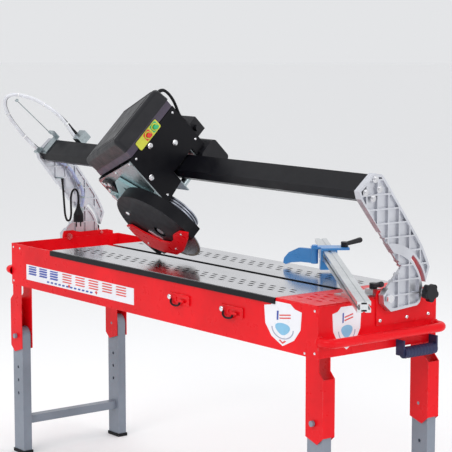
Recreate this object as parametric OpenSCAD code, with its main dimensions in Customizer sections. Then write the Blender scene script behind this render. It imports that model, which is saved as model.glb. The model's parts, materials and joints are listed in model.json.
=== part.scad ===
// Wet tile saw: a folding stand and water table, with a cutting head that runs along a tilting beam.
// Inside the placing modules, x runs from the left end of the frame, y from its front panel to the back,
// and z is measured from the frame's top edge. Bridge parts are drawn upright about the tilt axis.

/* [Frame] */
// Length of the frame
frame_l = 1753; // [1700:1:1800]
// Depth of the frame, front panel to back panel
frame_w = 480; // [470:1:490]
// Height of the side panels
panel_h = 155; // [150:1:165]
// Height of the frame's top edge above the floor
frame_h = 800; // [780:5:850]

/* [Bridge] */
// Lean of the bridge towards the front at rest, from upright
rest_lean = 45; // [45:1:45]
// Distance of the tilt axis from the front panel
tilt_y = 250; // [248:1:252]
// Height of the tilt axis above the frame's top edge
tilt_z = 4; // [3:1:5]

/* [Cutting head] */
// Blade radius
blade_r = 150; // [145:1:150]
// Radius of the blade guard
guard_r = 178; // [176:1:180]

/* [Hidden] */
$fn = 48;

wall = 3;
shift_x = -56.2;
shift_y = -1.4;
arch_gap = 8;
arch_t = 22;
pin_r = 8;
slot_r = 150;
stud_z = tilt_z + 5;
stud_r = 6;
post_w = 78;
post_out = 20;
pin_z = -350;
leg_w = 68;
leg_d = 35;
beam_top = 309;
beam_base = 250;
pivot_x = 612;
pivot_z = 290;
blade_x = 808;
blade_z = 180;
roller_r = 18;
lid_slope = 22;
tray_x = 296;
tray_l = 1240;
table_x = 287;
table_l = 1271;
slot_half = 13;
bar_l = 978;
bar_w = 40;
bar_h = 32;

hook_spot = [129.4, 193];

cable_route = [
    [127, 262, 294], [119, 262, 295], [110, 264, 305], [103, 266, 326], [97, 269, 355], [86, 271, 390],
    [70, 272, 422], [50, 270, 452], [30, 264, 482], [10, 254, 508], [-8, 242, 530], [-24, 226, 545],
    [-36, 206, 547], [-44, 188, 528], [-46, 176, 500], [-45, 168, 466], [-41, 163, 430], [-35, 159, 395],
    [-27, 157, 365], [-21, 156, 344], [-21, 156, 327]
];
hose_gap = 14.2;
// The hose leaves the gland on the beam's side of the cable and soon lies inside the cable's loop.
hose_route = [for (i = [0 : len(cable_route) - 1])
    let (t = min(max(i - 1, 0) / 4, 1)) cable_route[i] + hose_gap * unit([11 * t, -14 + 8 * t, 7.5 * t])];
pump_hose_route = [
    [6, 176, 249], [6, 176, 240], [6, 181, 224], [6, 187, 198], [6, 188, 168], [6, 180, 136],
    [6, 174, 106], [6, 166, 80], [6, 150, 59], [6, 134, 46], [6, 118, 38]
];
lead_x = 34;
lead_route = [
    [lead_x, 205, 232], [lead_x, 207, 200], [lead_x, 210, 160], [lead_x, 213, 120], [lead_x, 216, 92], [lead_x, 224, 72],
    [lead_x, 236, 72], [lead_x, 242, 92], [lead_x, 242, 126], [lead_x, 242, 156], [lead_x, 248, 178], [lead_x, 260, 188],
    [lead_x, 271, 178], [lead_x, 275, 156], [lead_x, 275, 130.2]
];
head_lead_route = [
    [840, 290.4, 532], [840, 302, 531], [839, 314, 521], [835, 321, 500], [829, 323, 470], [820, 321, 440],
    [812, 316, 412], [808, 313, 388], [808, 312, 368.4]
];

// ---------- placing ----------
module in_frame() {
    translate([-frame_l / 2 + shift_x, -frame_w / 2 + shift_y, frame_h]) children();
}

module on_bridge() {
    in_frame() translate([0, tilt_y, tilt_z]) rotate([rest_lean, 0, 0]) children();
}

module mirrored_end() {
    translate([frame_l, 0, 0]) mirror([1, 0, 0]) children();
}

module both_ends() {
    children();
    mirrored_end() children();
}

// Extrudes a (y, z) outline along x.
module along_x(x, thickness) {
    translate([x, 0, 0]) rotate([90, 0, 90]) linear_extrude(thickness) children();
}

// Extrudes an (x, z) outline along y.
module along_y(y, thickness) {
    translate([0, y + thickness, 0]) rotate([90, 0, 0]) linear_extrude(thickness) children();
}

module bar_x(x, y, z, r, length) {
    translate([x, y, z]) rotate([0, 90, 0]) cylinder(r = r, h = length);
}

module bar_y(x, y, z, r, length) {
    translate([x, y, z]) rotate([-90, 0, 0]) cylinder(r = r, h = length);
}

module block(low, high) {
    translate(low) cube(high - low);
}

module rounded_rect(w, h, r) {
    translate([r, 0]) square([w - 2 * r, h]);
    translate([0, r]) square([w, h - 2 * r]);
    for (x = [r, w - r], y = [r, h - r]) translate([x, y]) circle(r);
}

module oblong(length, width) {
    translate([-(length - width) / 2, -width / 2]) square([length - width, width]);
    for (s = [-1, 1]) translate([s * (length - width) / 2, 0]) circle(width / 2, $fn = 24);
}

// ---------- swept tubes ----------
function unit(v) = v / norm(v);
function tangent(path, i) = unit(path[min(i + 1, len(path) - 1)] - path[max(i - 1, 0)]);
// A start direction that is square to the path, carried along so that the tube doesn't twist.
function carried(side, t) = unit(side - (side * t) * t);
function sides(path, first, i = 0, found = []) =
    i == len(path) ? found :
    let (side = carried(i == 0 ? first : found[i - 1], tangent(path, i)))
    sides(path, first, i + 1, concat(found, [side]));
// Catmull-Rom points between the route's points.
function spline(path, steps) = concat(
    [for (i = [0 : len(path) - 2], k = [0 : steps - 1])
        let (t = k / steps, a = path[max(i - 1, 0)], b = path[i], c = path[i + 1],
             d = path[min(i + 2, len(path) - 1)])
        0.5 * (2 * b + (c - a) * t + (2 * a - 5 * b + 4 * c - d) * t * t
            + (3 * b - a - 3 * c + d) * t * t * t)],
    [path[len(path) - 1]]);

module swept_tube(route, r, first, n = 8, steps = 2) {
    path = spline(route, steps);
    side = sides(path, first);
    rings = [for (i = [0 : len(path) - 1], k = [0 : n - 1])
        let (up = cross(tangent(path, i), side[i]))
        path[i] + r * (cos(k * 360 / n) * side[i] + sin(k * 360 / n) * up)];
    faces = concat(
        [[for (k = [0 : n - 1]) k]],
        [for (i = [0 : len(path) - 2], k = [0 : n - 1])
            [i * n + k, (i + 1) * n + k, (i + 1) * n + (k + 1) % n]],
        [for (i = [0 : len(path) - 2], k = [0 : n - 1])
            [i * n + k, (i + 1) * n + (k + 1) % n, i * n + (k + 1) % n]],
        [[for (k = [n - 1 : -1 : 0]) (len(path) - 1) * n + k]]);
    polyhedron(points = rings, faces = faces);
}

// ---------- frame ----------
module front_panel() {
    color("crimson") in_frame() {
        block([0, 0, -panel_h], [frame_l, wall, 0]);
        block([post_w, wall, -panel_h], [frame_l - post_w, 24, -panel_h + wall]);
    }
}

module back_panel() {
    color("crimson") in_frame() {
        block([0, frame_w - wall, -panel_h], [frame_l, frame_w, 0]);
        block([post_w, frame_w - 24, -panel_h], [frame_l - post_w, frame_w - wall, -panel_h + wall]);
    }
}

module end_panels() {
    color("crimson") in_frame() both_ends() difference() {
        block([0, wall, -panel_h], [wall, frame_w - wall, 0]);
        bar_x(-5, tilt_y, tilt_z, pin_r, 20);
    }
}

module cross_members() {
    color("firebrick") in_frame() {
        block([135, wall, -60], [165, frame_w - wall, -30]);
        block([table_x - wall, wall, -panel_h + wall], [table_x, frame_w - wall, -4]);
        block([table_x + table_l, wall, -panel_h + wall], [table_x + table_l + wall, frame_w - wall, -4]);
    }
}

// A folded-sheet corner: an outer web and two cheeks that hold the top of the leg between them.
module corner_post() {
    cheek = [
        [0, -panel_h], [post_w - post_out, -panel_h], [post_w - post_out, pin_z - 46],
        [6, pin_z - 62], [-post_out, pin_z - 40], [-post_out, -215], [0, -195]
    ];
    difference() {
        union() {
            along_y(wall + 0.2, 3) polygon(cheek);
            along_y(wall + leg_d + 9, 3) polygon(cheek);
            block([-post_out, wall + 3, pin_z - 40], [-post_out + 3, wall + leg_d + 10, -215]);
            block([wall, wall + 0.2, -panel_h], [wall + 3, wall + leg_d + 12, -20]);
            block([wall, wall + 0.2, -panel_h], [post_w - post_out, wall + leg_d + 12, -panel_h + 3]);
        }
        bar_y(21, -10, pin_z, 5, leg_d + 40);
    }
}

module corner_posts() {
    color("crimson") in_frame() both_ends() {
        corner_post();
        translate([0, frame_w, 0]) mirror([0, 1, 0]) corner_post();
    }
}

module end_bracket() {
    difference() {
        union() {
            along_x(-5, 5) polygon([[226, -80], [455, -80], [455, 12], [430, 18], [300, 18], [272, 26],
                [232, 26], [226, 10]]);
            bar_x(-arch_gap + 0.3, tilt_y, tilt_z, 15, arch_gap - 0.3);
        }
        bar_x(-12, tilt_y, tilt_z, pin_r, 30);
        bar_x(-12, tilt_y + slot_r, stud_z, stud_r, 30);
    }
}

module end_brackets() {
    color("crimson") in_frame() both_ends() end_bracket();
}

module edge_rails() {
    color("dimgray") in_frame() for (y = [-5, frame_w]) {
        block([table_x - 8, y, -17], [table_x + table_l, y + 5, 1]);
    }
}

module plate_holes(columns, rows, x0, y0, pitch_x, pitch_y) {
    for (i = [0 : columns - 1], j = [0 : rows - 1]) {
        translate([x0 + i * pitch_x + (j % 2) * pitch_x / 2, y0 + j * pitch_y]) oblong(26, 10);
    }
}

module top_plate() {
    x0 = table_x + table_l + 1;
    color("tomato") in_frame() difference() {
        block([x0, 0, 0], [frame_l - 5, frame_w, wall]);
        block([frame_l - 18, tilt_y - 18, -5], [frame_l, tilt_y + 18, 10]);
        translate([0, 0, -10]) linear_extrude(20) {
            plate_holes(3, 4, x0 + 40, 60, 44, 34);
            plate_holes(3, 4, x0 + 40, 300, 44, 34);
        }
    }
}

module table_half(y0, y1, first_row) {
    difference() {
        union() {
            block([table_x, y0, 0], [table_x + table_l, y1, 3]);
            for (y = [y0 + 8, y1 - 11]) block([table_x + 12, y, -9], [table_x + table_l - 12, y + 3, 0]);
        }
        translate([0, 0, -5]) linear_extrude(20)
            plate_holes(24, 3, table_x + 50, first_row, 50, 26);
    }
}

module table_front() {
    color("lightsteelblue") in_frame() table_half(0, tilt_y - slot_half, 78);
}

module table_back() {
    color("lightsteelblue") in_frame() table_half(tilt_y + slot_half, frame_w, 356);
}

module water_tray() {
    color("slategray") in_frame() difference() {
        block([tray_x, 12, -146], [tray_x + tray_l, frame_w - 12, -12]);
        block([tray_x + 4, 16, -142], [tray_x + tray_l - 4, frame_w - 16, 0]);
        translate([tray_x + 90, 240, -160]) cylinder(r = 14, h = 30);
    }
}

module pump() {
    color("royalblue") in_frame() {
        translate([tray_x + tray_l - 110, 400, -142]) {
            cylinder(r = 34, h = 62);
            translate([0, 0, 62]) cylinder(r = 12, h = 20);
            translate([-34, -22, 0]) cube([12, 44, 50]);
        }
    }
}

module drain_plug() {
    color("black") in_frame() translate([tray_x + 90, 240, -160]) {
        cylinder(r = 13.8, h = 24);
        translate([0, 0, -8]) cylinder(r = 20, h = 8, $fn = 6);
    }
}

// A shield outline with a pointed foot and a dipped top.
module shield_outline(w, h) {
    polygon([[0, h * 0.86], [w * 0.18, h * 0.9], [w * 0.3, h], [w * 0.7, h], [w * 0.82, h * 0.9],
        [w, h * 0.86], [w * 0.97, h * 0.45], [w * 0.8, h * 0.18], [w * 0.5, 0], [w * 0.2, h * 0.18],
        [w * 0.03, h * 0.45]]);
}

module stickers() {
    color("white") in_frame() {
        block([107, -1, -125], [807, 0, -68]);
        difference() {
            along_y(-1, 1) translate([1505, -140]) shield_outline(175, 132);
            block([1400, -5, -17.3], [table_x + table_l + 0.3, 5, 2]);
        }
        along_x(frame_l, 1) translate([55, -138]) shield_outline(113, 129);
    }
}

latch_spots = [[1068, -68], [1346, -69]];

module latches() {
    color("red") in_frame() for (spot = latch_spots) translate([spot[0], 0, spot[1]]) {
        difference() {
            along_y(-5, 5) translate([-58, -17]) rounded_rect(116, 34, 6);
            along_y(-6, 3.5) translate([-14, -8]) rounded_rect(60, 14, 5);
            bar_y(-38, -8, 4, 4, 8);
        }
        block([8, -12, -7], [34, -5, 0]);
    }
}

module latch_bolts() {
    color("silver") in_frame() for (spot = latch_spots) translate([spot[0] - 38, 0, spot[1] + 4]) {
        bar_y(0, -5, 0, 4, 5);
        bar_y(0, -11, 0, 8, 6);
    }
}

handle_r = 14;
handle_x = -47;
handle_z = -104;

// A bent tube that stands out from one end of the frame.
module handle() {
    bend = 30;
    bar_y(handle_x, 36, handle_z, handle_r, frame_w - 72);
    for (side = [[36, 180, -1], [frame_w - 36, 90, 1]]) {
        translate([handle_x + bend, side[0], handle_z]) rotate(side[1])
            rotate_extrude(angle = 90) translate([bend, 0]) circle(handle_r);
        bar_x(handle_x + bend, side[0] + side[2] * bend, handle_z, handle_r, -handle_x - bend);
    }
}

module handles() {
    color("crimson") in_frame() both_ends() handle();
}

module pivot_bolts() {
    color("silver") in_frame() both_ends() {
        bar_x(-arch_gap - arch_t - 3, tilt_y, tilt_z, pin_r - 0.1, arch_gap + arch_t + 12);
        translate([-arch_gap - arch_t - 12, tilt_y, tilt_z]) rotate([0, 90, 0])
            cylinder(r = 13, h = 9, $fn = 6);
        translate([wall + 1, tilt_y, tilt_z]) rotate([0, 90, 0]) cylinder(r = 13, h = 8, $fn = 6);
        bar_x(-arch_gap - arch_t - 26, tilt_y + slot_r, stud_z, stud_r, arch_gap + arch_t + 30);
        bar_x(-arch_gap - arch_t - 3, tilt_y + slot_r, stud_z, 14, 2.6);
    }
}

module tow_grip() {
    color("navy") in_frame() {
        bar_y(frame_l + 24, 318, -171, 17, 132);
        for (y = [312, 450]) block([frame_l, y, -180], [frame_l + 34, y + 6, -132]);
    }
}

module knob() {
    x = -arch_gap - arch_t - 34;
    lobes = 5;
    translate([x, tilt_y + slot_r, stud_z]) rotate([0, 90, 0]) difference() {
        union() {
            translate([0, 0, 8]) cylinder(r = 15, h = 22.5);
            cylinder(r = 22, h = 20);
            for (k = [0 : lobes - 1]) rotate(k * 360 / lobes) translate([18, 0, 1]) cylinder(r = 10.5, h = 18);
        }
        translate([0, 0, 7.5]) cylinder(r = stud_r + 0.08, h = 30);
    }
}

module knob_left() {
    color("black") in_frame() knob();
}

module knob_right() {
    color("black") in_frame() mirrored_end() knob();
}

// ---------- legs ----------
module leg() {
    difference() {
        union() {
            bar_y(21, wall + 5, pin_z, leg_w / 2, leg_d);
            block([21 - leg_w / 2, wall + 5, -frame_h + 12], [21 + leg_w / 2, wall + 5 + leg_d, pin_z]);
        }
        for (z = [-470, -520, -570]) bar_y(21, 0, z, 6, leg_d + 20);
    }
    bar_y(21, -3, pin_z, 4.9, leg_d + 18);
    bar_y(21, -8, pin_z, 9, 5.8 + wall);
}

module leg_pair() {
    leg();
    translate([0, frame_w, 0]) mirror([0, 1, 0]) leg();
    block([4, wall + leg_d + 5, -690], [38, frame_w - wall - leg_d - 5, -660]);
}

module leg_pair_left() {
    color("slategray") in_frame() leg_pair();
}

module leg_pair_right() {
    color("slategray") in_frame() mirrored_end() leg_pair();
}

module leg_feet() {
    for (y = [wall + 2, frame_w - wall - leg_d - 8]) {
        block([21 - leg_w / 2 - 4, y, -frame_h], [21 + leg_w / 2 + 4, y + leg_d + 6, -frame_h + 12]);
    }
}

module leg_feet_left() {
    color("black") in_frame() leg_feet();
}

module leg_feet_right() {
    color("black") in_frame() mirrored_end() leg_feet();
}

// ---------- fence ----------
bar_turn = 146.4;
bar_rise = 3;
bar_end = [1917, 30, 4];
clamp_x = 782;
fin_pivot = [clamp_x + 8, 44];

module on_bar() {
    in_frame() translate(bar_end) rotate([0, -bar_rise, bar_turn]) children();
}

// The extruded bar's section, with a T-slot in each side.
module bar_section() {
    difference() {
        translate([-bar_w / 2, 0]) square([bar_w, bar_h]);
        for (side = [-1, 1]) {
            translate([side * (bar_w / 2) - 2.5, bar_h / 2 - 4]) square([5, 8]);
            translate([side * (bar_w / 2 - 5.5) - 3, bar_h / 2 - 8]) square([6, 16]);
        }
        for (z = [0, bar_h]) {
            translate([-4, z - 2.5]) square([8, 5]);
            translate([-8, abs(z - 5) - (z > 0 ? 3 : 2)]) square([16, 5]);
        }
    }
}

module fence_bar() {
    color("silver") {
        on_bar() along_x(0, bar_l) bar_section();
        in_frame() {
            block([1640, 160, 3.3], [1730, 284, 9]);
            block([1672, 160, 8], [1728, 192, 17]);
            block([1690, 240, 8], [1726, 276, 24]);
            translate([1708, 258, 24]) cylinder(r = 6, h = 12.6);
        }
    }
}

module lever(length, rise) {
    difference() {
        cylinder(r = 12, h = 16);
        translate([0, 0, -1]) cylinder(r = 6.08, h = 14);
    }
    translate([0, 0, 8]) rotate([0, 90 - rise, 0]) difference() {
        union() {
            translate([0, 0, 10]) cylinder(r1 = 7, r2 = 9, h = length - 10);
            translate([0, 0, length]) sphere(9);
        }
        rotate([0, rise - 90, 0]) translate([0, 0, -20]) cylinder(r = 11, h = 40);
    }
}

module fence_lever() {
    color("black") in_frame() translate([1708, 258, 24.4]) rotate(-20) lever(62, 12);
}

module mitre_clamp() {
    color("dodgerblue") on_bar() difference() {
        union() {
            block([clamp_x - 26, -68, bar_h + 1], [clamp_x + 28, 27, bar_h + 8]);
            block([clamp_x - 26, -27, -1], [clamp_x + 28, 27, bar_h + 2]);
            block([clamp_x - 12, -27, -35], [clamp_x + 16, 27, 0]);
            block([fin_pivot[0] - 14, 26, bar_h + 1], [fin_pivot[0] + 14, fin_pivot[1] + 12, bar_h + 8]);
        }
        block([clamp_x - 80, -20.5, -6], [clamp_x + 80, 20.5, bar_h + 0.5]);
    }
    color("silver") on_bar() translate([clamp_x, -54, bar_h + 7]) cylinder(r = 6, h = 14);
}

// The angled fin that the tile is laid against, on an upright pivot beside the bar.
module mitre_fin() {
    color("dodgerblue") on_bar() translate([fin_pivot[0], fin_pivot[1], 0]) {
        translate([0, 0, -16]) cylinder(r = 12, h = bar_h + 16.7);
        rotate(38) along_y(-5, 10) polygon([[6, -16], [6, 32], [70, 27], [118, 4], [140, -18], [144, -35],
            [132, -39], [112, -30], [60, -20]]);
        translate([0, 0, bar_h + 8.3]) cylinder(r = 10, h = 5);
    }
}

module mitre_lever() {
    color("black") on_bar() translate([clamp_x, -54, bar_h + 8.3]) rotate(-70) lever(58, 10);
}

// ---------- bridge ----------
arch_outline = [
    [-6, 22], [102, 20], [134, 296], [146, 318], [223, 312], [242, 285], [241, 267], [222, 131], [208, 42],
    [201, 3], [188, -38], [177, -64], [75, -110], [61, -108], [-21, -38], [-24, 0]
];

// The rim leaves this smaller outline, which the ribs divide into pockets.
pocket_outline = [
    [6, 30], [95, 28], [141, 292], [151, 310], [218, 304], [234, 282], [233, 268], [214, 132], [200, 43],
    [193, 6], [180, -34], [171, -57], [77, -102], [64, -100], [-10, -36]
];

module pockets() {
    pitch = 44;
    cell = 39;
    difference() {
        intersection() {
            polygon(pocket_outline);
            rotate(45) for (i = [-3 : 8], j = [-4 : 5]) {
                translate([i * pitch + 8, j * pitch + 5]) square(cell);
            }
        }
        circle(26);
        difference() {
            circle(slot_r + 15);
            circle(slot_r - 15);
        }
    }
}

module lock_slot() {
    intersection() {
        difference() {
            circle(slot_r + 7.5);
            circle(slot_r - 7.5);
        }
        polygon([[0, 0], 300 * [cos(48), -sin(48)], 300 * [cos(20), -sin(20)], 300 * [cos(6), sin(6)]]);
    }
}

module arch() {
    difference() {
        along_x(-arch_gap - arch_t, arch_t) polygon(arch_outline);
        along_x(-arch_gap - 5, 10) pockets();
        along_x(-arch_gap - arch_t - 5, 14) pockets();
        bar_x(-60, 0, 0, pin_r, 80);
        along_x(-60, 80) lock_slot();
    }
}

module arch_left() {
    color("silver") on_bridge() arch();
}

module arch_right() {
    color("silver") on_bridge() mirrored_end() arch();
}

beam_outline = [
    [152, beam_top], [220, beam_top], [232, 286], [218, 262], [212, beam_base], [160, beam_base],
    [154, 262], [140, 286]
];

module beam() {
    inner = [for (p = beam_outline) [186 + (p[0] - 186) * 0.86, 281 + (p[1] - 281) * 0.86]];
    color("black") on_bridge() along_x(-arch_gap + 0.1, frame_l + 2 * arch_gap - 0.2) difference() {
        polygon(beam_outline);
        polygon(inner);
    }
}

module arch_bolts() {
    color("silver") on_bridge() both_ends() {
        for (spot = [[160, 296], [214, 296], [168, 262], [204, 262]]) {
            translate([-arch_gap - arch_t - 6, spot[0], spot[1]]) rotate([0, 90, 0])
                cylinder(r = 7, h = 6, $fn = 6);
        }
    }
}

// Galvanised pieces on the beam and the left arch that carry the wire stay and the cords' ends.
module loop_stay() {
    color("gainsboro") on_bridge() {
        block([-6, 150, beam_top + 0.2], [30, 236, beam_top + 4]);
        block([-6, 232, beam_top + 4], [30, 236, beam_top + 34]);
        block([-16, 231, beam_top + 16], [-5, 237, beam_top + 28]);
        translate([-13, 234, beam_top + 24]) rotate([3.4, 0, 0]) cylinder(r = 1.6, h = 188, $fn = 24);
        block([-18, 218, 517], [-8, 228, 524]);
        block([128, 232.3, 276], [166, 276, 312]);
        block([-29, 140, 318.6], [2, 166, 326.6]);
        block([-15, 142, 326.6], [1, 158, 333.4]);
        bar_x(-arch_gap, hook_spot[0], hook_spot[1], 4, arch_gap + lead_x - 4.5);
        bar_x(-arch_gap, 108, 34, 9, 22);
    }
}

module power_cable() {
    color("black") on_bridge() swept_tube(cable_route, 5.5, [0, 1, 0]);
}

module water_hose() {
    color("gainsboro") on_bridge() swept_tube(hose_route, 6.5, [0, 1, 0]);
}

module pump_hose() {
    color("lightblue") on_bridge() swept_tube(pump_hose_route, 6.5, [1, 0, 0]);
}

module plug_lead() {
    color("black") in_frame() swept_tube(lead_route, 4, [1, 0, 0]);
}

module plug() {
    color("black") in_frame() translate([lead_x, 275, 0]) {
        translate([0, 0, 62]) cylinder(r = 19, h = 28);
        translate([0, 0, 90]) cylinder(r1 = 19, r2 = 9, h = 24);
        translate([0, 0, 114]) cylinder(r1 = 8, r2 = 5.5, h = 16);
        for (s = [-1, 1]) translate([0, s * 9.5, 43]) cylinder(r = 2.4, h = 19);
    }
}

// ---------- carriage ----------
carriage_x0 = 550;
carriage_x1 = 873;

module side_plate(x, top_front, top_back) {
    difference() {
        along_x(x, 6) polygon([[40, 262], [287, 292], [287, top_back], [40, top_front]]);
        along_x(x - 1, 8) polygon([[133, 240], [241, 240], [241, 318], [133, 318]]);
    }
}

module carriage_box() {
    color("dimgray") on_bridge() {
        side_plate(carriage_x0, 350, 350);
        side_plate(carriage_x1 - 6, 476, 476);
        along_y(283, 4) polygon([[carriage_x0 + 6, 300], [carriage_x1 - 6, 300], [carriage_x1 - 6, 474],
            [carriage_x0 + 6, 346]]);
        for (spot = [[205, 385], [58, 375], [129, 452]]) bar_x(carriage_x1, spot[0], spot[1], 5, 3);
    }
}

module carriage_front() {
    color("gainsboro") on_bridge() difference() {
        along_y(36, 4) polygon([[carriage_x0, 236], [carriage_x1, 262], [carriage_x1, 474],
            [carriage_x0, 346]]);
        bar_y(blade_x, 0, blade_z, 112, 80);
        bar_y(pivot_x, 0, pivot_z, pin_r, 80);
    }
}

roller_x0 = 600;
roller_x1 = 830;
low_roller_r = 14;

module roller_frame() {
    color("silver") on_bridge() {
        for (y = [134, 236]) difference() {
            block([carriage_x0 + 10, y, 222], [carriage_x1 - 10, y + 4, 346]);
            for (x = [roller_x0, roller_x1]) bar_y(x, y - 5, beam_top + 0.3 + roller_r, 5, 20);
        }
        block([carriage_x0 + 10, 134, 346], [carriage_x1 - 10, 240, 349]);
        for (x = [roller_x0, roller_x1]) {
            bar_y(x, 132, beam_top + 0.3 + roller_r, 5, 110);
            bar_y(x, 138, beam_base - 0.4 - low_roller_r, low_roller_r, 98);
        }
    }
}

module roller(x) {
    difference() {
        bar_y(x, 160, beam_top + 0.3 + roller_r, roller_r, 52);
        bar_y(x, 150, beam_top + 0.3 + roller_r, 5.06, 80);
    }
}

module roller_a() {
    color("whitesmoke") on_bridge() roller(roller_x0);
}

module roller_b() {
    color("whitesmoke") on_bridge() roller(roller_x1);
}

module on_lid() {
    translate([carriage_x1 - 11, 0, 563.5]) rotate([0, -lid_slope, 0]) children();
}

module lid() {
    r = 16;
    color("black") on_bridge() on_lid() hull() {
        for (x = [-350 + r, -r], y = [48 + r, 290 - r]) {
            translate([x, y, -r]) sphere(r, $fn = 24);
            translate([x, y, -56]) cylinder(r = r, h = 10, $fn = 32);
        }
    }
}

module lid_skirt() {
    color("mediumpurple") on_bridge() along_y(54, 230) polygon([[carriage_x0, 351.5], [carriage_x1, 479],
        [carriage_x1, 507], [carriage_x0, 377]]);
}

switch_z = 484;
start_y = 185;
stop_y = 148;

module switch_plate() {
    color("gold") on_bridge() difference() {
        along_x(carriage_x1 + 0.3, 3) translate([94, 466]) rounded_rect(112, 35, 6);
        for (y = [start_y, stop_y]) bar_x(carriage_x1 - 10, y, switch_z, 8.3, 30);
    }
}

module button(y) {
    bar_x(carriage_x1 + 3.6, y, switch_z, 8, 9);
}

module button_start() {
    color("green") on_bridge() button(start_y);
}

module button_stop() {
    color("red") on_bridge() button(stop_y);
}

module connector_box() {
    color("black") on_bridge() {
        block([770, 287, 310], [846, 338, 368]);
        bar_x(846, 312, 340, 11, 18);
    }
}

module head_lead() {
    color("black") on_bridge() swept_tube(head_lead_route, 5, [1, 0, 0]);
}

module rear_housing() {
    color("black") on_bridge() {
        hull() for (y = [256, 306], z = [204, 270]) bar_x(780, y, z, 14, 110);
        for (x = [796, 850]) block([x, 272, 268], [x + 12, 282.8, 340]);
    }
}

module head_pin() {
    color("silver") on_bridge() {
        bar_y(pivot_x, 20, pivot_z, pin_r - 0.08, 30);
        bar_y(pivot_x, 41, pivot_z, 18, 10);
        bar_y(pivot_x, 14, pivot_z, 12, 6.5);
    }
}

// ---------- cutting head ----------
guard_half = 22;
flat_tilt = 24;
flat_d = 80;

module below_flat() {
    translate([blade_x, 0, blade_z]) rotate([0, -flat_tilt, 0])
        translate([-300, -100, -300]) cube([600, 200, 300 - flat_d]);
}

module guard() {
    color("black") on_bridge() difference() {
        bar_y(blade_x, -guard_half, blade_z, guard_r, 2 * guard_half);
        bar_y(blade_x, -guard_half + 3, blade_z, guard_r - 4, 2 * guard_half - 6);
        bar_y(blade_x, -guard_half - 5, blade_z, 24, 60);
        below_flat();
    }
}

module motor() {
    color("lightgray") on_bridge() difference() {
        union() {
            bar_y(blade_x, 22.2, blade_z, 92, 22);
            bar_y(blade_x, 44, blade_z, 72, 36);
            for (k = [0 : 3]) bar_y(blade_x, 48 + 9 * k, blade_z, 88, 4.5);
        }
        bar_y(blade_x, 10, blade_z, 12, 60);
    }
}

// The swing arm from the plunge pivot, and the stay above it that stiffens the guard.
module head_arm() {
    color("cadetblue") on_bridge() difference() {
        union() {
            along_y(22.2, 11) polygon([[594, 306], [624, 312], [724, 262], [716, 200], [604, 268]]);
            bar_y(pivot_x, 22.2, pivot_z, 24, 11);
            along_y(22.2, 11) polygon([[694, 372], [728, 388], [868, 282], [868, 240], [844, 240]]);
            along_y(22.2, 11) polygon([[640, 296], [694, 372], [728, 388], [700, 262]]);
        }
        bar_y(blade_x, 10, blade_z, 92.2, 40);
        bar_y(pivot_x, 10, pivot_z, pin_r, 40);
    }
}

module splash_flap() {
    color("black") on_bridge() translate([blade_x, 0, blade_z]) rotate([0, -flat_tilt, 0]) {
        block([-192, -26, -74], [-184, 26, 20]);
        block([-184, -20, -4], [-178.3, 20, 4]);
    }
}

module lower_cover() {
    outline = [
        [-176, 15], [-177, -32], [-146, -91], [-78, -110], [-2, -112], [67, -80], [165, -3], [200, 34],
        [150, 34], [92, 8], [60, -26], [24, -44], [-34, -44], [-70, -22], [-96, -10], [-140, 22]
    ];
    color("red") on_bridge() along_y(-guard_half - 9, 6) translate([blade_x, blade_z]) polygon(outline);
}

module blade() {
    color("silver") on_bridge() {
        bar_y(blade_x, -1.5, blade_z, blade_r, 3);
        bar_y(blade_x, -14, blade_z, 30, 12.5);
        bar_y(blade_x, 1.5, blade_z, 30, 12.5);
        bar_y(blade_x, 14, blade_z, 11.9, 50);
        translate([blade_x, -20, blade_z]) rotate([-90, 0, 0]) cylinder(r = 15, h = 6, $fn = 6);
    }
}

front_panel();
back_panel();
end_panels();
cross_members();
corner_posts();
end_brackets();
edge_rails();
top_plate();
table_front();
table_back();
water_tray();
pump();
drain_plug();
stickers();
latches();
latch_bolts();
handles();
pivot_bolts();
tow_grip();
knob_left();
knob_right();
leg_pair_left();
leg_pair_right();
leg_feet_left();
leg_feet_right();
fence_bar();
fence_lever();
mitre_clamp();
mitre_fin();
mitre_lever();
arch_left();
arch_right();
beam();
arch_bolts();
loop_stay();
power_cable();
water_hose();
pump_hose();
plug_lead();
plug();
carriage_box();
carriage_front();
roller_frame();
lid();
lid_skirt();
switch_plate();
connector_box();
head_lead();
rear_housing();
head_pin();
button_start();
button_stop();
roller_a();
roller_b();
guard();
motor();
head_arm();
splash_flap();
lower_cover();
blade();
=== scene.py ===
import json
import math

import bmesh
import bpy
from mathutils import Matrix, Vector


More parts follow.
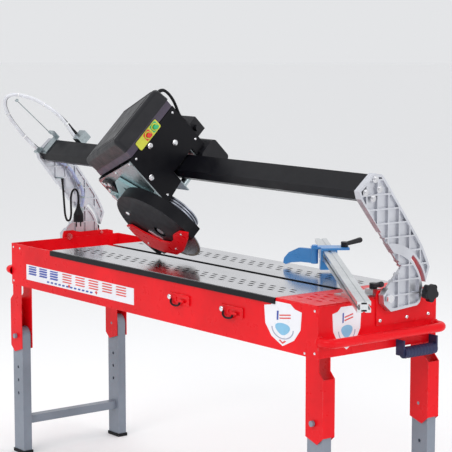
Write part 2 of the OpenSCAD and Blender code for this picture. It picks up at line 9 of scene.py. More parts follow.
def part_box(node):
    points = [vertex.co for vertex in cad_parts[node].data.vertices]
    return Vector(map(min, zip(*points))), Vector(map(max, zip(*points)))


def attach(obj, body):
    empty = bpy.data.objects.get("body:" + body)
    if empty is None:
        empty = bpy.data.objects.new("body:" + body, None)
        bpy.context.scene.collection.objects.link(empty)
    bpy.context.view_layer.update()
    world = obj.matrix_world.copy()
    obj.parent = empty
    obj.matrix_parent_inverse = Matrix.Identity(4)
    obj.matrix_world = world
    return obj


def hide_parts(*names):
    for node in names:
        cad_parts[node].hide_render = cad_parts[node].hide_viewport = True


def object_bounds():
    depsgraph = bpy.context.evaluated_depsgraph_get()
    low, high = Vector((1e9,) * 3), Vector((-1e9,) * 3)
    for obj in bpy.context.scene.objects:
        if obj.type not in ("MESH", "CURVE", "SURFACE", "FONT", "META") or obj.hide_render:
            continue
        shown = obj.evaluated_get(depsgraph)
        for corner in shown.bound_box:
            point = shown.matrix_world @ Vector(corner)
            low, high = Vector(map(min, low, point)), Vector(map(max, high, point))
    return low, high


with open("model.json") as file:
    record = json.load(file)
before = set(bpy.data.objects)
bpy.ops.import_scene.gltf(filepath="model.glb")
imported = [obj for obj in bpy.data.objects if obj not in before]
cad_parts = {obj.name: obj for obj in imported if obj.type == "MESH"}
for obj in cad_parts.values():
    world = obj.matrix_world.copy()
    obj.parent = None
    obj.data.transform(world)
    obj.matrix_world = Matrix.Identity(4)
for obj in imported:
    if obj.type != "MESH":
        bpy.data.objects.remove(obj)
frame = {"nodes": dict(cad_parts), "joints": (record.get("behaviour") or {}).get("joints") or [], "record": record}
CAD_LO, CAD_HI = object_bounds()

# ---------- places ----------
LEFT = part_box("front_panel")[0].x
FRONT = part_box("front_panel")[0].y
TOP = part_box("front_panel")[1].z
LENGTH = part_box("front_panel")[1].x - LEFT
TILT = Vector(next(j["pos_m"] for j in frame["joints"] if j["name"] == "bridge_tilt"))

FRAME = Matrix.Translation((LEFT, FRONT, TOP)) @ Matrix.Scale(0.001, 4)
BRIDGE = Matrix.Translation((LEFT, TILT.y, TILT.z)) @ Matrix.Rotation(math.radians(45), 4, "X") @ Matrix.Scale(0.001, 4)
LID = BRIDGE @ Matrix.Translation((862, 0, 563.5)) @ Matrix.Rotation(math.radians(-22), 4, "Y")

# Places of the CAD parts, in millimetres along the axes of the matrix that they are used with.
RIGHT = 1000 * LENGTH
BLADE_X, BLADE_Z = 808, 180
SWITCH_X, SWITCH_Z = 876.3, 484
START_Y, STOP_Y = 185, 148
ARCH_FACE = 30.3
BRACKET_FACE = 5.1
PRINT_NEAR, PRINT_FAR = 1.02, 1.3
HEAD = BRIDGE @ Matrix.Translation((BLADE_X, 0, BLADE_Z))


# ---------- camera ----------
cam_data = bpy.data.cameras.new("camera")
cam = bpy.data.objects.new("camera", cam_data)
bpy.context.scene.collection.objects.link(cam)
bpy.context.scene.camera = cam
cam_data.sensor_width = 36
cam_data.lens = 131.65  # fitted, with the place and pitch below, to the edges of the real saw
cam_data.clip_end = 60
pitch = math.radians(-7.17)
look = Vector((-0.7923 * math.cos(pitch), 0.6101 * math.cos(pitch), math.sin(pitch)))
cam.location = (4.4089, -3.3427, 1.6336)
cam.rotation_mode = "QUATERNION"
cam.rotation_quaternion = look.to_track_quat("-Z", "Y")


# ---------- materials ----------
class Nodes:
    """A short way to build a node tree: n(type, {input: value or socket}, property=value)."""

    def __init__(self, name):
        self.material = bpy.data.materials.new(name)
        self.material.use_nodes = True
        self.tree = self.material.node_tree
        self.tree.nodes.clear()

    def __call__(self, kind, inputs=None, **properties):
        node = self.tree.nodes.new("ShaderNode" + kind)
        for key, value in properties.items():
            setattr(node, key, value)
        for key, value in (inputs or {}).items():
            if isinstance(value, bpy.types.NodeSocket):
                self.tree.links.new(value, node.inputs[key])
            else:
                node.inputs[key].default_value = value
        return node

    def noise(self, scale, stretch=(1, 1, 1), detail=3.0):
        where = self("TexCoord").outputs["Object"]
        where = self("Mapping", {"Vector": where, "Scale": stretch}).outputs[0]
        return self("TexNoise", {"Vector": where, "Scale": scale, "Detail": detail}).outputs["Fac"]

    def ramp(self, value, low, high, start=0.3, end=0.7):
        limits = {"From Min": start, "From Max": end, "To Min": low, "To Max": high}
        return self("MapRange", {"Value": value, **limits}).outputs[0]

    def mix(self, factor, a, b):
        node = self("Mix", data_type="RGBA")
        for socket, value in ((node.inputs[0], factor), (node.inputs[6], a), (node.inputs[7], b)):
            if isinstance(value, bpy.types.NodeSocket):
                self.tree.links.new(value, socket)
            elif socket == node.inputs[0]:
                socket.default_value = value
            else:
                socket.default_value = (*value[:3], 1)
        return node.outputs[2]

    def bump(self, height, strength, distance, normal=None):
        inputs = {"Height": height, "Strength": strength, "Distance": distance}
        if normal is not None:
            inputs["Normal"] = normal
        return self("Bump", inputs).outputs[0]

    def edges(self, radius):
        """1 along convex edges, 0 on flat faces."""
        rounded = self("Bevel", {"Radius": radius}, samples=4).outputs[0]
        flat = self("NewGeometry").outputs["Normal"]
        dot = self("VectorMath", {0: rounded, 1: flat}, operation="DOT_PRODUCT").outputs["Value"]
        return self.ramp(dot, 1.0, 0.0, 0.86, 0.985)

    def finish(self, **sockets):
        shader = self("BsdfPrincipled")
        for key, value in sockets.items():
            key = key.replace("_", " ")
            if isinstance(value, bpy.types.NodeSocket):
                self.tree.links.new(value, shader.inputs[key])
            else:
                shader.inputs[key].default_value = (*value, 1) if isinstance(value, tuple) and len(value) == 3 else value
        output = self("OutputMaterial")
        self.tree.links.new(shader.outputs[0], output.inputs[0])
        return self.material


def shade(color, k):
    return tuple(min(1.0, c * k) for c in color)


def paint(name, color, rough=0.3, coat=0.4, wear=(0.55, 0.5, 0.48), wear_amount=0.5, vary=0.12, peel=0.12, gloss=0.5):
    n = Nodes(name)
    base = n.mix(n.ramp(n.noise(5), 0, 1), shade(color, 1 - vary), shade(color, 1 + vary))
    dust = n.mix(n.ramp(n.noise(38, detail=6), 0, 0.14, 0.5, 0.8), base, shade(color, 0.55))
    patches = n.ramp(n.noise(70, detail=5), 0, wear_amount, 0.5, 0.68)
    worn = n("Math", {0: n.edges(0.0015), 1: patches}, operation="MULTIPLY").outputs[0]
    normal = n.bump(n.noise(520, detail=2), peel, 0.0006)
    return n.finish(Base_Color=n.mix(worn, dust, wear), Roughness=n.ramp(n.noise(24, detail=5), rough - 0.06, rough + 0.1),
                    Normal=normal, Coat_Weight=coat, Coat_Roughness=0.12, Specular_IOR_Level=gloss)


def metal(name, color, rough=0.3, brush=None, cast=0.0, vary=0.08, spangle=0.0, spread=0.08):
    n = Nodes(name)
    base = n.mix(n.ramp(n.noise(9, detail=4), 0, 1), shade(color, 1 - vary), shade(color, 1 + vary))
    if spangle:
        where = n("TexCoord").outputs["Object"]
        cells = n("TexVoronoi", {"Vector": where, "Scale": 110.0}).outputs["Color"]
        gray = n("SeparateColor", {0: cells}).outputs[0]
        base = n.mix(n.ramp(gray, 0, spangle, 0, 1), base, shade(color, 0.55))
    streaks = n.noise(1.0, brush, 4) if brush else n.noise(60, detail=5)
    normal = n.bump(streaks, 0.06 if brush else 0.05, 0.0004)
    if cast:
        normal = n.bump(n.noise(420, detail=6), cast, 0.0008, normal)
    return n.finish(Base_Color=base, Metallic=1.0, Roughness=n.ramp(streaks, rough - spread * 0.6, rough + spread),
                    Normal=normal)


def plastic(name, color, rough=0.5, grain=0.25, grain_scale=1500, vary=0.1, wear=0.18, coat=0.0, gloss=0.5):
    n = Nodes(name)
    base = n.mix(n.ramp(n.noise(12, detail=5), 0, 1), shade(color, 1 - vary), shade(color, 1 + vary))
    pale = tuple(min(1, c + 0.16) for c in color)
    patches = n.ramp(n.noise(55, detail=5), 0, wear, 0.4, 0.7)
    rub = n("Math", {0: n.edges(0.0015), 1: patches}, operation="MULTIPLY").outputs[0]
    where = n("TexCoord").outputs["Object"]
    cells = n("TexVoronoi", {"Vector": where, "Scale": float(grain_scale)}).outputs["Distance"]
    normal = n.bump(cells, grain, 0.0003)
    return n.finish(Base_Color=n.mix(rub, base, pale), Roughness=n.ramp(n.noise(30, detail=5), rough - 0.07, rough + 0.1),
                    Normal=normal, Coat_Weight=coat, Coat_Roughness=0.1, Specular_IOR_Level=gloss)


def hose(name, color, weight):
    n = Nodes(name)
    base = n.mix(n.ramp(n.noise(18, detail=4), 0, 1), shade(color, 0.86), shade(color, 1.1))
    return n.finish(Base_Color=base, Roughness=n.ramp(n.noise(40), 0.16, 0.3), Normal=n.bump(n.noise(160), 0.08, 0.0005),
                    Transmission_Weight=weight, IOR=1.4, Coat_Weight=0.3, Subsurface_Weight=0.0)


M = {
    "red_paint": paint("red_paint", (0.76, 0.004, 0.010), 0.3, 0.05, gloss=0.15),
    "black_paint": paint("black_paint", (0.003, 0.003, 0.005), 0.34, 0.0, (0.10, 0.10, 0.11), 0.3, gloss=0.18),
    "stainless": metal("stainless", (0.62, 0.62, 0.64), 0.16, (3, 900, 60), spread=0.1),
    "zinc": metal("zinc", (0.42, 0.48, 0.50), 0.3, None, 0.05, spangle=0.35),
    "cast_alloy": metal("cast_alloy", (0.60, 0.61, 0.65), 0.42, None, 0.35),
    "bar_alloy": metal("bar_alloy", (0.70, 0.72, 0.73), 0.3, (8, 500, 500)),
    "bolt_steel": metal("bolt_steel", (0.78, 0.78, 0.80), 0.18),
    "leg_paint": paint("leg_paint", (0.20, 0.23, 0.28), 0.36, 0.2, (0.5, 0.5, 0.5)),
    "black_rubber": plastic("black_rubber", (0.008, 0.008, 0.010), 0.55, 0.15, 900, wear=0.1, gloss=0.2),
    "black_plastic": plastic("black_plastic", (0.008, 0.008, 0.011), 0.42, 0.3, 1300, gloss=0.3),
    "skirt_plastic": plastic("skirt_plastic", (0.06, 0.045, 0.075), 0.45, 0.25),
    "tray_plastic": plastic("tray_plastic", (0.04, 0.045, 0.05), 0.5, 0.25),
    "blue_paint": paint("blue_paint", (0.05, 0.27, 0.66), 0.3, 0.4, (0.6, 0.65, 0.7)),
    "navy_foam": plastic("navy_foam", (0.012, 0.016, 0.07), 0.6, 0.6, 500, wear=0.1),
    "pump_plastic": plastic("pump_plastic", (0.02, 0.06, 0.22), 0.35, 0.2, coat=0.2),
    "sticker_film": plastic("sticker_film", (0.82, 0.82, 0.86), 0.32, 0.06, 700, 0.04, 0.0, 0.3),
    "yellow_plate": plastic("yellow_plate", (0.60, 0.62, 0.05), 0.35, 0.12, coat=0.2),
    "green_button": plastic("green_button", (0.02, 0.42, 0.16), 0.3, 0.08, coat=0.3),
    "red_button": plastic("red_button", (0.70, 0.03, 0.03), 0.3, 0.08, coat=0.3),
    "roller_plastic": plastic("roller_plastic", (0.72, 0.72, 0.70), 0.4, 0.15),
    "clear_hose": hose("clear_hose", (0.86, 0.87, 0.93), 0.25),
    "blue_hose": hose("blue_hose", (0.50, 0.58, 0.84), 0.2),
    "arm_paint": paint("arm_paint", (0.24, 0.40, 0.42), 0.34, 0.3, (0.6, 0.62, 0.62)),
    "blade_steel": metal("blade_steel", (0.50, 0.50, 0.52), 0.28, (300, 300, 300), spread=0.12),
    "motor_alloy": metal("motor_alloy", (0.42, 0.44, 0.50), 0.4, None, 0.3),
}
M["print_blue"] = plastic("print_blue", (0.03, 0.06, 0.36), 0.32, 0.05, 700, 0.15, 0.0, 0.3)
M["print_red"] = plastic("print_red", (0.72, 0.05, 0.04), 0.32, 0.05, 700, 0.15, 0.0, 0.3)
M["print_sky"] = plastic("print_sky", (0.22, 0.50, 0.72), 0.32, 0.05, 700, 0.15, 0.0, 0.3)
M["print_grey"] = plastic("print_grey", (0.36, 0.37, 0.48), 0.32, 0.05, 700, 0.15, 0.0, 0.3)
M["print_silver"] = metal("print_silver", (0.62, 0.62, 0.66), 0.3, (40, 500, 500))
M["tie_white"] = plastic("tie_white", (0.80, 0.80, 0.80), 0.35, 0.1)
M["diamond_rim"] = metal("diamond_rim", (0.34, 0.30, 0.24), 0.5, None, 0.6)

SLOT_OF = {s["node"]: s["material_slot"] for s in frame["record"]["subparts"]}
for node, obj in frame["nodes"].items():
    obj.data.materials.clear()
    obj.data.materials.append(M[SLOT_OF[node]])


# ---------- mesh helpers ----------
def add(name, mesh, matrix, body, slot, material=None, bevel=0.0, smooth=30):
    """A finished piece from a bmesh drawn in millimetres."""
    bmesh.ops.transform(mesh, matrix=matrix, verts=mesh.verts)
    bmesh.ops.recalc_face_normals(mesh, faces=mesh.faces)
    for face in mesh.faces:
        face.smooth = True
    for edge in mesh.edges:
        if len(edge.link_faces) == 2:
            edge.smooth = edge.calc_face_angle(0) < math.radians(smooth)
    data = bpy.data.meshes.new(name)
    mesh.to_mesh(data)
    mesh.free()
    data.materials.append(material or M[slot])
    obj = bpy.data.objects.new(name, data)
    bpy.context.scene.collection.objects.link(obj)
    if bevel:
        mod = obj.modifiers.new("bevel", "BEVEL")
        mod.width = bevel / 1000
        mod.segments = 2
        mod.limit_method = "ANGLE"
        mod.angle_limit = math.radians(35)
        mod.harden_normals = False
    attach(obj, body)
    return obj


def join(*meshes):
    out = meshes[0]
    for other in meshes[1:]:
        base = len(out.verts)
        new = [out.verts.new(v.co) for v in other.verts]
        other.verts.index_update()
        for f in other.faces:
            out.faces.new([new[v.index] for v in f.verts])
        other.free()
    return out


def prism(outline, y0, y1, plane="xz"):
    """An outline drawn in two of the axes and extruded along the third."""
    def place(a, b, c):
        return {"xz": (a, c, b), "yz": (c, a, b), "xy": (a, b, c)}[plane]
    mesh = bmesh.new()
    low = [mesh.verts.new(place(a, b, y0)) for a, b in outline]
    high = [mesh.verts.new(place(a, b, y1)) for a, b in outline]
    mesh.faces.new(low)
    mesh.faces.new(high[::-1])
    for i in range(len(low)):
        k = (i + 1) % len(low)
        mesh.faces.new((low[k], low[i], high[i], high[k]))
    return mesh


def skin(mesh, rings, loop=False):
    """Faces between rings of vertices; the last ring meets the first, or both ends are closed."""
    following = rings[1:] + rings[:1] if loop else rings[1:]
    for a, b in zip(rings, following):
        for k in range(len(a)):
            m = (k + 1) % len(a)
            mesh.faces.new((a[k], a[m], b[m], b[k]))
    if not loop:
        mesh.faces.new(rings[0][::-1])
        mesh.faces.new(rings[-1])
    return mesh


def turned_ring(mesh, origin, turn, along, radii):
    """One ring of vertices about an axis, a radius for each."""
    ring = []
    for k, r in enumerate(radii):
        a = 2 * math.pi * k / len(radii)
        ring.append(mesh.verts.new(Vector(origin) + turn @ Vector((r * math.cos(a), r * math.sin(a), along))))
    return ring


def rounded(w, h, r, x=0, y=0, n=5):
    """The outline of a rectangle with rounded corners, its low corner at x, y."""
    points = []
    for cx, cy, start in ((w - r, h - r, 0), (r, h - r, 90), (r, r, 180), (w - r, r, 270)):
        for k in range(n + 1):
            a = math.radians(start + 90 * k / n)
            points.append((x + cx + r * math.cos(a), y + cy + r * math.sin(a)))
    return points


def lathe(profile, origin, axis, n=32):
    """Turns a profile of (distance along the axis, radius) about the axis through origin."""
    mesh = bmesh.new()
    turn = Vector(axis).to_track_quat("Z", "Y").to_matrix()
    return skin(mesh, [turned_ring(mesh, origin, turn, along, [r] * n) for along, r in profile])


def bored(outline, centre, bore, low, high):
    """A plate in the yz plane with a round hole through it, a hole point for each outline point."""
    mesh = bmesh.new()
    hole = []
    for y, z in outline:
        a = math.atan2(z - centre[1], y - centre[0])
        hole.append((centre[0] + bore * math.cos(a), centre[1] + bore * math.sin(a)))
    sides = ((outline, low), (outline, high), (hole, high), (hole, low))
    return skin(mesh, [[mesh.verts.new((x, y, z)) for y, z in loop] for loop, x in sides], loop=True)


def frames_along(points, first=(0, 0, 1)):
    """For each point: itself, the direction of travel and two directions across it."""
    side = Vector(first)
    out = []
    for i, p in enumerate(points):
        t = (Vector(points[min(i + 1, len(points) - 1)]) - Vector(points[max(i - 1, 0)])).normalized()
        side = (side - side.dot(t) * t).normalized()
        out.append((Vector(p), t, side, t.cross(side)))
    return out


def sweep(points, radii, n=16, first=(0, 0, 1)):
    """A tube of changing radius along the points."""
    mesh = bmesh.new()
    rings = []
    for (p, t, s, u), r in zip(frames_along(points, first), radii):
        turns = [2 * math.pi * k / n for k in range(n)]
        rings.append([mesh.verts.new(p + r * (math.cos(a) * s + math.sin(a) * u)) for a in turns])
    return skin(mesh, rings)


def spline(path, steps=8):
    """A smooth line through the points of the path."""
    out = []
    for i in range(len(path) - 1):
        a, b, c, d = (Vector(path[k]) for k in (max(i - 1, 0), i, i + 1, min(i + 2, len(path) - 1)))
        for k in range(steps):
            t = k / steps
            square, cube = 2 * a - 5 * b + 4 * c - d, 3 * b - a - 3 * c + d
            out.append(0.5 * (2 * b + (c - a) * t + square * t * t + cube * t ** 3))
    out.append(Vector(path[-1]))
    return out


def length_of(points):
    return sum((Vector(b) - Vector(a)).length for a, b in zip(points, points[1:]))


# ---------- cords ----------
# The routes repeat those of the CAD cords.
CABLE_R, HOSE_R, LEAD_R, HEAD_LEAD_R = 5.5, 6.5, 4, 5
CABLE = [
    (127, 262, 294), (119, 262, 295), (110, 264, 305), (103, 266, 326), (97, 269, 355), (86, 271, 390),
    (70, 272, 422), (50, 270, 452), (30, 264, 482), (10, 254, 508), (-8, 242, 530), (-24, 226, 545),
    (-36, 206, 547), (-44, 188, 528), (-46, 176, 500), (-45, 168, 466), (-41, 163, 430), (-35, 159, 395),
    (-27, 157, 365), (-21, 156, 344), (-21, 156, 327),
]
HOSE_GAP = 14.2
HOSE = [Vector(p) + HOSE_GAP * Vector((11 * t, -14 + 8 * t, 7.5 * t)).normalized()
        for i, p in enumerate(CABLE) for t in [min(max(i - 1, 0) / 4, 1)]]
LEAD = [(34, y, z) for y, z in (
    (205, 232), (207, 200), (210, 160), (213, 120), (216, 92), (224, 72), (236, 72), (242, 92), (242, 126),
    (242, 156), (248, 178), (260, 188), (271, 178), (275, 156), (275, 130.2))]
HEAD_LEAD = [(840, 290.4, 532), (840, 302, 531), (839, 314, 521), (835, 321, 500), (829, 323, 470), (820, 321, 440),
             (812, 316, 412), (808, 313, 388), (808, 312, 368.4)]
PUMP_HOSE = [(6, 176, 249), (6, 176, 240), (6, 181, 224), (6, 187, 198), (6, 188, 168), (6, 180, 136),
             (6, 174, 106), (6, 166, 80), (6, 150, 59), (6, 134, 46), (6, 118, 38)]


def cord_curve(name, route, matrix, radius, node, body, slot):
    """A round cord that stands in for its CAD node."""
    points = [matrix @ p for p in spline(route)]
    data = bpy.data.curves.new(name, "CURVE")
    data.dimensions = "3D"
    data.bevel_depth = radius / 1000
    data.bevel_resolution = 5
    data.use_fill_caps = True
    line = data.splines.new("POLY")
    line.points.add(len(points) - 1)
    for point, p in zip(line.points, points):
        point.co = (*p, 1)
    line.use_smooth = True
    data.materials.append(M[slot])
    obj = bpy.data.objects.new(name, data)
    bpy.context.scene.collection.objects.link(obj)
    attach(obj, body)
    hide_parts(node)
    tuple(points[0])
    length_of(points)
    return obj


RELIEF_RIBS = 5


def relief(name, route, matrix, body, r0, r1, length):
    """A tapered, ribbed strain relief over the start of a cord."""
    points, radii, gone = [], [], 0.0
    path = spline(route, 12)
    for i, p in enumerate(path):
        gone += (path[i] - path[i - 1]).length if i else 0
        if gone > length:
            break
        f = gone / length
        wave = 0.5 - 0.5 * math.cos(2 * math.pi * RELIEF_RIBS * f)
        points.append(p)
        radii.append(r0 + (r1 - r0) * f - 0.7 * wave)
    return add(name, sweep(points, radii, 20), matrix, body, "black_rubber", smooth=50)


TIE_POINTS = 28


def tie(name, route_a, route_b, index, matrix, body, ra, rb):
    """A flat cable tie round two cords that lie side by side."""
    a, b = Vector(route_a[index]), Vector(route_b[index])
    t = (Vector(route_a[index + 1]) - Vector(route_a[index - 1])).normalized()
    u = (b - a) - (b - a).dot(t) * t
    gap = u.length
    u.normalize()
    v = t.cross(u)
    mesh = bmesh.new()
    rows = []
    for offset, along in ((0.3, -2.2), (1.5, -2.2), (1.5, 2.2), (0.3, 2.2)):
        ring = []
        for k in range(TIE_POINTS):
            angle = 2 * math.pi * k / TIE_POINTS
            c = math.cos(angle)
            centre = a if c < 0 else a + gap * u
            r = (ra if c < 0 else rb) + offset
            ring.append(mesh.verts.new(centre + r * (c * u + math.sin(angle) * v) + along * t))
        rows.append(ring)
    return add(name, skin(mesh, rows, loop=True), matrix, body, "sticker_film", M["tie_white"], smooth=60)


ties = [tie(f"loop_tie_{i}", CABLE, HOSE, k, BRIDGE, "bridge", CABLE_R, HOSE_R)
        for i, k in enumerate((4, 7, 10, 14, 17))]
cable_relief = relief("cable_relief", CABLE, BRIDGE, "bridge", 8.5, 6.2, 20)
cable_boot = relief("cable_boot", CABLE[::-1], BRIDGE, "bridge", 8.2, 6.2, 24)
cord_curve("power_cable_cord", CABLE, BRIDGE, CABLE_R, "power_cable", "bridge", "black_rubber")
cord_curve("water_hose_cord", HOSE, BRIDGE, HOSE_R, "water_hose", "bridge", "clear_hose")
lead_relief = relief("lead_relief", LEAD, FRAME, "plug_drop", 6.2, 4.5, 24)
cord_curve("plug_lead_cord", LEAD, FRAME, LEAD_R, "plug_lead", "plug_drop", "black_rubber")
head_top = relief("head_lead_relief", HEAD_LEAD, BRIDGE, "carriage", 6.8, 5.8, 30)
head_end = relief("head_lead_boot", HEAD_LEAD[::-1], BRIDGE, "carriage", 8.5, 5.8, 28)
cord_curve("head_lead_cord", HEAD_LEAD, BRIDGE, HEAD_LEAD_R, "head_lead", "carriage", "black_rubber")
pump_path = spline(PUMP_HOSE)
pump = add("pump_hose_tube", sweep(pump_path, [HOSE_R] * len(pump_path), 20, first=(1, 0, 0)), BRIDGE, "bridge",
           "blue_hose", smooth=60)
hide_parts("pump_hose")


# ---------- fasteners ----------
def hex_bolt(name, origin, axis, matrix, body, size, height):
    """A hexagonal bolt head on a washer; size is the radius to a corner."""
    mesh = lathe([(0.9, size), (height * 0.8, size), (height, size * 0.86)], origin, axis, 6)
    washer = [(0, size * 1.5), (0.2, size * 1.55), (1.3, size * 1.55), (1.5, size * 1.48)]
    mesh = join(mesh, lathe(washer, origin, axis, 28))
    return add(name, mesh, matrix, body, "bolt_steel", bevel=0.3)


def dome_screw(name, origin, axis, matrix, body, r):
    """A domed screw head with a hexagonal socket."""
    mesh = bmesh.new()
    turn = Vector(axis).to_track_quat("Z", "Y").to_matrix()
    points = 24
    rows = []
    # Distance along the axis, radius, and whether the ring is the hexagon of the socket.
    profile = ((0, 1, False), (0.18, 1, False), (0.42, 0.86, False), (0.56, 0.6, False),
               (0.56, 0.42, True), (0.2, 0.42, True))
    for along, radius, socket in profile:
        radii = []
        for k in range(points):
            a = 2 * math.pi * k / points
            hexagon = math.cos(math.pi / 6) / math.cos((a % (math.pi / 3)) - math.pi / 6)
            radii.append(r * radius * (hexagon if socket else 1))
        rows.append(turned_ring(mesh, origin, turn, r * along, radii))
    return add(name, skin(mesh, rows), matrix, body, "bolt_steel")


for side, x, axis in (("left", -ARCH_FACE, (-1, 0, 0)), ("right", RIGHT + ARCH_FACE, (1, 0, 0))):
    for i, (y, z) in enumerate(((160, 296), (214, 296), (168, 262), (204, 262))):
        washer = lathe([(0, 10.5), (0.3, 11), (1.3, 11), (1.6, 10.5)], (x, y, z), axis, 28)
        add(f"arch_washer_{side}_{i}", washer, BRIDGE, "bridge", "bolt_steel")
for i, (y, z) in enumerate(((205, 385), (58, 375), (129, 452))):
    hex_bolt(f"side_bolt_{i}", (876.2, y, z), (1, 0, 0), BRIDGE, "carriage", 6.5, 5.5)
for i, (y, z) in enumerate(((62, 284), (62, 462), (270, 462), (272, 330))):
    dome_screw(f"side_screw_{i}", (873.2, y, z), (1, 0, 0), BRIDGE, "carriage", 4.5)
for i, (x, z) in enumerate(((562, 250), (566, 336), (862, 300), (862, 462), (720, 404))):
    dome_screw(f"front_screw_{i}", (x, 35.8, z), (0, -1, 0), BRIDGE, "carriage", 5)
for i, (x, z) in enumerate(((14, -14), (14, -140), (1739, -14), (1739, -140), (60, -14), (1694, -146))):
    dome_screw(f"panel_screw_{i}", (x, -0.1, z), (0, -1, 0), FRAME, "frame", 4)
for i, (y, z) in enumerate(((240, -66), (350, -66), (440, -66))):
    for side, x, axis in (("left", -BRACKET_FACE, (-1, 0, 0)), ("right", RIGHT + BRACKET_FACE, (1, 0, 0))):
        dome_screw(f"bracket_screw_{side}_{i}", (x, y, z), axis, FRAME, "frame", 6)
for i, a in enumerate((20, 80, 140, 200, 260, 320)):
    x, z = BLADE_X + 62 * math.cos(math.radians(a)), BLADE_Z + 62 * math.sin(math.radians(a))
    dome_screw(f"motor_screw_{i}", (x, 80.1, z), (0, 1, 0), BRIDGE, "head", 4)
for i, (x, z) in enumerate(((-166, 8), (-128, -70), (30, -74), (150, 20))):
    dome_screw(f"cover_screw_{i}", (x, -31.1, z), (0, -1, 0), HEAD, "cover", 4.5)
dome_screw("guard_knob", (704, -22.1, 262), (0, -1, 0), BRIDGE, "head", 9)


# ---------- prints: generic shapes, no lettering ----------
def print_piece(name, outlines, matrix, material, y0=-PRINT_NEAR, y1=-PRINT_FAR, plane="xz"):
    return add(name, join(*[prism(o, y0, y1, plane) for o in outlines]), matrix, "frame", "sticker_film", M[material])


def slanted(x, z, w, h, lean=6):
    """A bar whose top leans to the right."""
    return [(x, z), (x + w, z), (x + w + lean, z + h), (x + lean, z + h)]


blue = [slanted(122 + 74 * i, -104 + 9 * k, 52, 6.4) for i in range(3) for k in range(3)]
blue += [slanted(122 + 74 * i, -77, 52, 5) for i in range(3)]
red = [slanted(354 + 86 * i, -104 + 9 * k, 60, 4.6) for i in range(5) for k in range(4)]
print_piece("banner_blue", blue, FRAME, "print_blue")
print_piece("banner_red", red, FRAME, "print_red")
print_piece("banner_line", [slanted(250 + 26 * i, -119, 16, 6, 2) for i in range(12)], FRAME, "print_blue")
print_piece("banner_accent", [[(x - 9, -112), (x, -120), (x + 9, -112), (x, -106)] for x in (401, 577)], FRAME, "print_red")


def emblem(prefix, place):
    """A plain drop in an arc, with two slanted bars above it and a chevron below."""
    def at(points):
        return [place(x, z) for x, z in points]
    plane = "xz" if prefix == "front" else "yz"
    y0, y1 = (-PRINT_NEAR, -PRINT_FAR) if prefix == "front" else (RIGHT + PRINT_NEAR, RIGHT + PRINT_FAR)
    turns = [2 * math.pi * k / 28 for k in range(28)]
    drop = [(0.5 + 0.19 * math.sin(a) * (1 - 0.35 * math.cos(a)), 0.42 - 0.15 * math.cos(a)) for a in turns]
    arc = [math.pi * k / 20 - math.pi / 2 for k in range(21)]
    ring = [(0.5 + 0.30 * math.sin(a), 0.44 - 0.27 * math.cos(a)) for a in arc]
    ring += [(0.5 + 0.27 * math.sin(a), 0.44 - 0.245 * math.cos(a)) for a in arc[::-1]]
    steps = (0, 0.075)
    bars = [[(0.42, 0.66 + up), (0.72, 0.72 + up), (0.71, 0.75 + up), (0.41, 0.69 + up)] for up in steps]
    flag = [(0.34, 0.62), (0.385, 0.63), (0.395, 0.86), (0.345, 0.85)]
    chevron = [(0.4, 0.13), (0.5, 0.05), (0.6, 0.13), (0.56, 0.15), (0.5, 0.1), (0.44, 0.15)]
    args = dict(matrix=FRAME, y0=y0, y1=y1, plane=plane)
    print_piece(prefix + "_emblem_drop", [at(drop)], material="print_sky", **args)
    print_piece(prefix + "_emblem_arc", [at(ring)], material="print_grey", **args)
    print_piece(prefix + "_emblem_bar", [at(bar) for bar in bars], material="print_red", **args)
    print_piece(prefix + "_emblem_flag", [at(flag)], material="print_blue", **args)
    print_piece(prefix + "_emblem_foot", [at(chevron)], material="print_red", **args)


emblem("front", lambda a, b: (1505 + 175 * a, -140 + 122 * b))
emblem("end", lambda a, b: (55 + 113 * a, -138 + 129 * b))
fish = [(0, 8), (12, 20), (34, 18), (52, 8), (66, 14), (78, 4), (70, -4), (78, -14), (60, -14), (40, -8), (18, -4)]
fish = [(734 + 0.72 * a, 166 - 0.35 * a + 0.9 * b) for a, b in fish]
add("guard_plate", prism(fish, -22.1, -24.2), BRIDGE, "head", "bolt_steel", M["print_silver"], bevel=0.5)

# ---------- details ----------
add("lid_panel", prism(rounded(286, 186, 14, -322, 76), -0.4, 1.1, "xy"), LID, "carriage", "black_plastic", bevel=0.9)
add("lid_rib_front", prism(rounded(300, 5, 2.4, -326, 62), -0.6, 1.4, "xy"), LID, "carriage", "black_plastic", bevel=0.6)
add("lid_rib_back", prism(rounded(300, 5, 2.4, -326, 271), -0.6, 1.4, "xy"), LID, "carriage", "black_plastic", bevel=0.6)
band = rounded(350.6, 242.6, 16, -350.3, 47.7, 8)
inner = rounded(349, 241, 16, -349.5, 48.5, 8)
mesh = bmesh.new()
sides = ((inner, -50), (band, -49.4), (band, -46.6), (inner, -46))
skin(mesh, [[mesh.verts.new((x, y, z)) for x, y in loop] for loop, z in sides], loop=True)
add("lid_seam", mesh, LID, "carriage", "black_plastic", smooth=50)

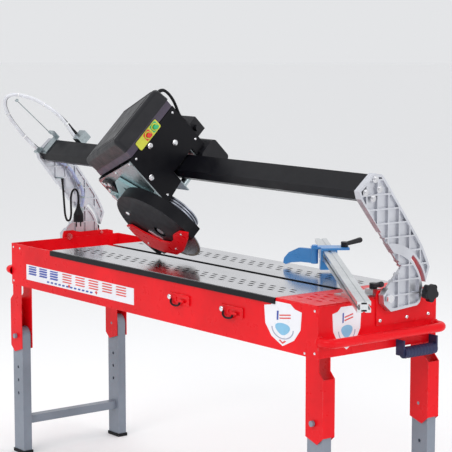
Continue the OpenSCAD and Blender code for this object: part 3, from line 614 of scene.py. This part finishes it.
# The switches: a bezel, a cap and a coloured surround for each.
for name, y, slot in (("start", START_Y, "green_button"), ("stop", STOP_Y, "red_button")):
    rim = [(y + 13 * math.cos(math.pi * k / 16), SWITCH_Z + 13 * math.sin(math.pi * k / 16)) for k in range(32)]
    bezel = bored(rim, (y, SWITCH_Z), 8.8, SWITCH_X, SWITCH_X + 2.2)
    add(name + "_bezel", bezel, BRIDGE, "carriage", "yellow_plate", bevel=0.5)
    cap = lathe([(0, 7.9), (1.2, 7.8), (2.2, 6.6), (2.4, 5.6), (1.6, 4.4)], (885.6, y, SWITCH_Z), (1, 0, 0), 32)
    add(name + "_cap", cap, BRIDGE, "button_" + name, slot)
for name, y, slot in (("switch_guard", STOP_Y, "red_button"), ("switch_guard_green", START_Y, "green_button")):
    plate = bored(rounded(30, 28, 4, y - 15, SWITCH_Z - 13.5), (y, SWITCH_Z), 10.6, SWITCH_X, SWITCH_X + 0.8)
    add(name, plate, BRIDGE, "carriage", slot, bevel=0.2)

# A dark mount with three bolts beside the head, and a zinc bracket beside it.
clamp = prism([(586, 300), (640, 306), (652, 322), (650, 352), (636, 364), (600, 360), (588, 344)], 24, 35.6)
add("strut_mount", clamp, BRIDGE, "carriage", "black_plastic", bevel=1.5)
for i, (x, z) in enumerate(((604, 316), (632, 346), (606, 346))):
    hex_bolt(f"strut_bolt_{i}", (x, 24, z), (0, -1, 0), BRIDGE, "carriage", 6, 5)
bracket = prism([(852, 262), (872, 262), (872, 306), (852, 320)], 22, 35.6)
add("side_bracket", bracket, BRIDGE, "carriage", "zinc", bevel=1.0)

# Latch levers, a bent rod below each latch.
for i, (x, z) in enumerate(((1068, -68), (1346, -69))):
    route = spline([(x - 36, -9, z - 2), (x - 34, -11, z - 14), (x - 22, -12, z - 21), (x - 2, -12, z - 21),
                    (x + 12, -12, z - 16), (x + 14, -11.5, z - 9)])
    lever = sweep(route, [3.2] * len(route), 14, first=(0, 1, 0))
    add(f"latch_lever_{i}", lever, FRAME, "frame", "black_paint", smooth=60)
    cap = lathe([(0, 8.1), (1.2, 8.6), (4, 8.6), (6, 7), (7, 4.5), (7.2, 2)], (x - 38, -11, z + 4), (0, -1, 0), 28)
    add(f"latch_cap_{i}", cap, FRAME, "frame", "bolt_steel")

# Weld beads where the handles meet the end panels, and ribs on the tow grip.
weld = [(0, 17.2), (1.2, 17.6), (3.2, 16.4), (4.6, 14.3), (4.8, 13.8)]
for side, x, sign in (("left", 0, -1), ("right", RIGHT, 1)):
    for k, y in enumerate((6, 474)):
        add(f"handle_weld_{side}_{k}", lathe(weld, (x, y, -104), (sign, 0, 0), 32), FRAME, "frame", "red_paint")
rib = [(0, 17.05), (1.5, 18), (6, 18), (7.5, 17.05)]
for k in range(9):
    add(f"grip_rib_{k}", lathe(rib, (1777, 323 + 13.4 * k, -171), (0, 1, 0), 36), FRAME, "frame", "navy_foam")

# The blade's diamond segments.
rim = bmesh.new()
SEGMENTS, STEPS = 20, 5
section = ((141, -1.75), (149.9, -1.75), (149.9, 1.75), (141, 1.75))
for s in range(SEGMENTS):
    rows = []
    for k in range(STEPS + 1):
        a = 2 * math.pi * (s + 0.06 + 0.86 * k / STEPS) / SEGMENTS
        rows.append([rim.verts.new((r * math.cos(a), y, r * math.sin(a))) for r, y in section])
    skin(rim, rows)
add("blade_rim", rim, HEAD, "blade", "blade_steel", M["diamond_rim"])

# Hose clips and the fittings at the hose's ends.
for k in (3, 6, 8):
    p = Vector(PUMP_HOSE[k])
    t = (Vector(PUMP_HOSE[k + 1]) - Vector(PUMP_HOSE[k - 1])).normalized()
    add(f"hose_clip_{k}", lathe([(-4, 6.7), (-3.6, 7.7), (3.6, 7.7), (4, 6.7)], p, t, 28), BRIDGE, "bridge", "zinc")
union = lathe([(0, 9), (1, 9.6), (9, 9.6), (10, 8.4), (16, 8), (17, 7)], HOSE[0] + Vector((1, 0, 0)), (-1, 0, 0), 28)
add("hose_union", union, BRIDGE, "bridge", "blue_hose")
jet = spline([(960, -4, 258), (966, -4, 244), (972, -4, 226), (975, -4, 206), (974, -4, 188)])
add("guard_hose", sweep(jet, [3.4] * len(jet), 14, first=(0, 1, 0)), BRIDGE, "head", "black_rubber", smooth=60)
fitting = lathe([(0, 6), (1, 7), (8, 7), (9, 5.4), (15, 5.2), (16, 4.4)], (952, -4, 270), (0.45, 0, -0.9), 24)
add("guard_fitting", fitting, BRIDGE, "head", "bolt_steel")

# ---------- stage and light ----------
ground = bmesh.new()
bmesh.ops.create_grid(ground, x_segments=2, y_segments=2, size=150)
data = bpy.data.meshes.new("floor")
ground.to_mesh(data)
ground.free()
floor_nodes = Nodes("floor_pale")
data.materials.append(floor_nodes.finish(Base_Color=(0.98, 0.98, 0.98), Roughness=0.8, Specular_IOR_Level=0.1))
floor = bpy.data.objects.new("floor", data)
bpy.context.scene.collection.objects.link(floor)
floor.location = (0, 0, CAD_LO.z - 0.0005)

world = bpy.data.worlds.new("studio")
bpy.context.scene.world = world
world.use_nodes = True
world.node_tree.nodes["Background"].inputs[0].default_value = (0.97, 0.98, 1.0, 1)
world.node_tree.nodes["Background"].inputs[1].default_value = 0.8
bpy.context.scene.view_settings.view_transform = "Standard"


def light(name, place, target, size, energy):
    data = bpy.data.lights.new(name, "AREA")
    data.shape = "RECTANGLE"
    data.size, data.size_y = size
    data.energy = energy
    obj = bpy.data.objects.new(name, data)
    bpy.context.scene.collection.objects.link(obj)
    obj.location = place
    obj.rotation_mode = "QUATERNION"
    obj.rotation_quaternion = (Vector(target) - Vector(place)).to_track_quat("-Z", "Y")


light("key", (1.2, -4.2, 4.0), (0, 0, 0.8), (3.0, 2.0), 75)
light("side", (4.6, 1.2, 2.6), (0, 0, 0.9), (2.4, 2.4), 45)
light("top", (-0.6, 0.8, 4.6), (0, 0, 0.8), (3.4, 2.4), 45)
